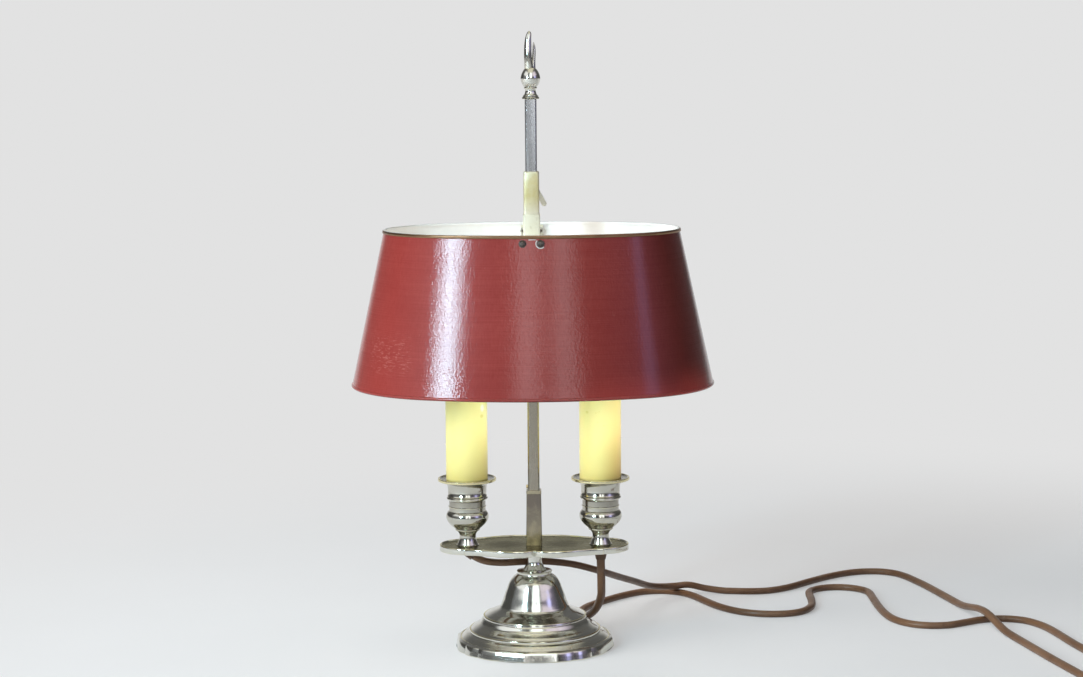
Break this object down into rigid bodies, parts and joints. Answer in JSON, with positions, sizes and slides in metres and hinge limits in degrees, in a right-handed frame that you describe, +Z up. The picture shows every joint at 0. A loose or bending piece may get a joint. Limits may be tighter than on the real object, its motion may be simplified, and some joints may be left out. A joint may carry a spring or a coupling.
{
  "type": "bouillotte lamp",
  "caption": "Table lamp with candle lights in turned cups on a shaped tray, under an oval metal shade that slides on a square rod and clamps with a lever.",
  "frame": {"origin": "middle of the foot, on the table", "axes": "+Z up along the rod, +X towards the right-hand candle, -Y towards the side that is looked at"},
  "size_m": [0.7796, 0.5147, 0.5315],
  "materials": {
    "silver_plate": "polished silver plate on brass, worn to brass at the edges",
    "plain_brass": "bare brass, dulled",
    "zinc_steel": "plated, satin",
    "dark_steel": "blackened, satin",
    "cast_weight": "as cast",
    "green_felt": "felt",
    "porcelain": "glazed",
    "cream_plastic": "satin",
    "cap_aluminium": "satin",
    "bulb_glass": "frosted",
    "brown_plastic": "moulded",
    "brown_flex": "soft sheath",
    "red_lacquer": "lacquered red outside, white inside"
  },
  "bodies": {
    "lamp_body": {"base_felt": "green_felt", "base_weight": "cast_weight", "base_shell": "silver_plate", "base_washer": "plain_brass", "base_nut": "plain_brass", "tie_rod": "zinc_steel", "stem_neck": "silver_plate", "tray": "silver_plate", "rod_socket": "silver_plate", "lamp_rod": "silver_plate", "stop_pin": "plain_brass", "finial_urn": "silver_plate", "finial_flame": "silver_plate", "cup_left": "silver_plate", "cup_right": "silver_plate", "nipple_left": "plain_brass", "nipple_right": "plain_brass", "tray_lock_nuts": "plain_brass", "cup_lock_nuts": "plain_brass", "lampholder_left": "plain_brass", "lampholder_right": "plain_brass", "terminal_block_left": "porcelain", "terminal_block_right": "porcelain", "candle_sleeve_left": "cream_plastic", "candle_sleeve_right": "cream_plastic", "bulb_cap_left": "cap_aluminium", "bulb_cap_right": "cap_aluminium", "bulb_glass_left": "bulb_glass", "bulb_glass_right": "bulb_glass", "cord_bush_left": "brown_plastic", "cord_bush_right": "brown_plastic", "cord_left": "brown_flex", "cord_right": "brown_flex", "coil_left": "brown_flex", "coil_right": "brown_flex", "plug_left": "brown_plastic", "plug_right": "brown_plastic", "plug_pins_left": "zinc_steel", "plug_pins_right": "zinc_steel"},
    "shade_carriage": {"shade_sleeve": "plain_brass", "shade_strap": "plain_brass", "shade_shell": "red_lacquer", "shade_top_edge": "plain_brass", "shade_bottom_rim": "red_lacquer", "shade_screws": "dark_steel", "shade_nuts": "dark_steel"},
    "clamp": {"clamp_screw": "plain_brass", "clamp_lever": "plain_brass"}
  },
  "joints": [
    {"name": "shade_slide", "type": "slide", "parent": "lamp_body", "child": "shade_carriage", "axis": [0, 0, 1], "range_m": [-0.14, 0.06]},
    {"name": "clamp_turn", "type": "hinge", "parent": "shade_carriage", "child": "clamp", "pos_m": [0, 0.0107, 0.4038], "axis": [0, 1, 0], "range_deg": [0, 150]}
  ]
}
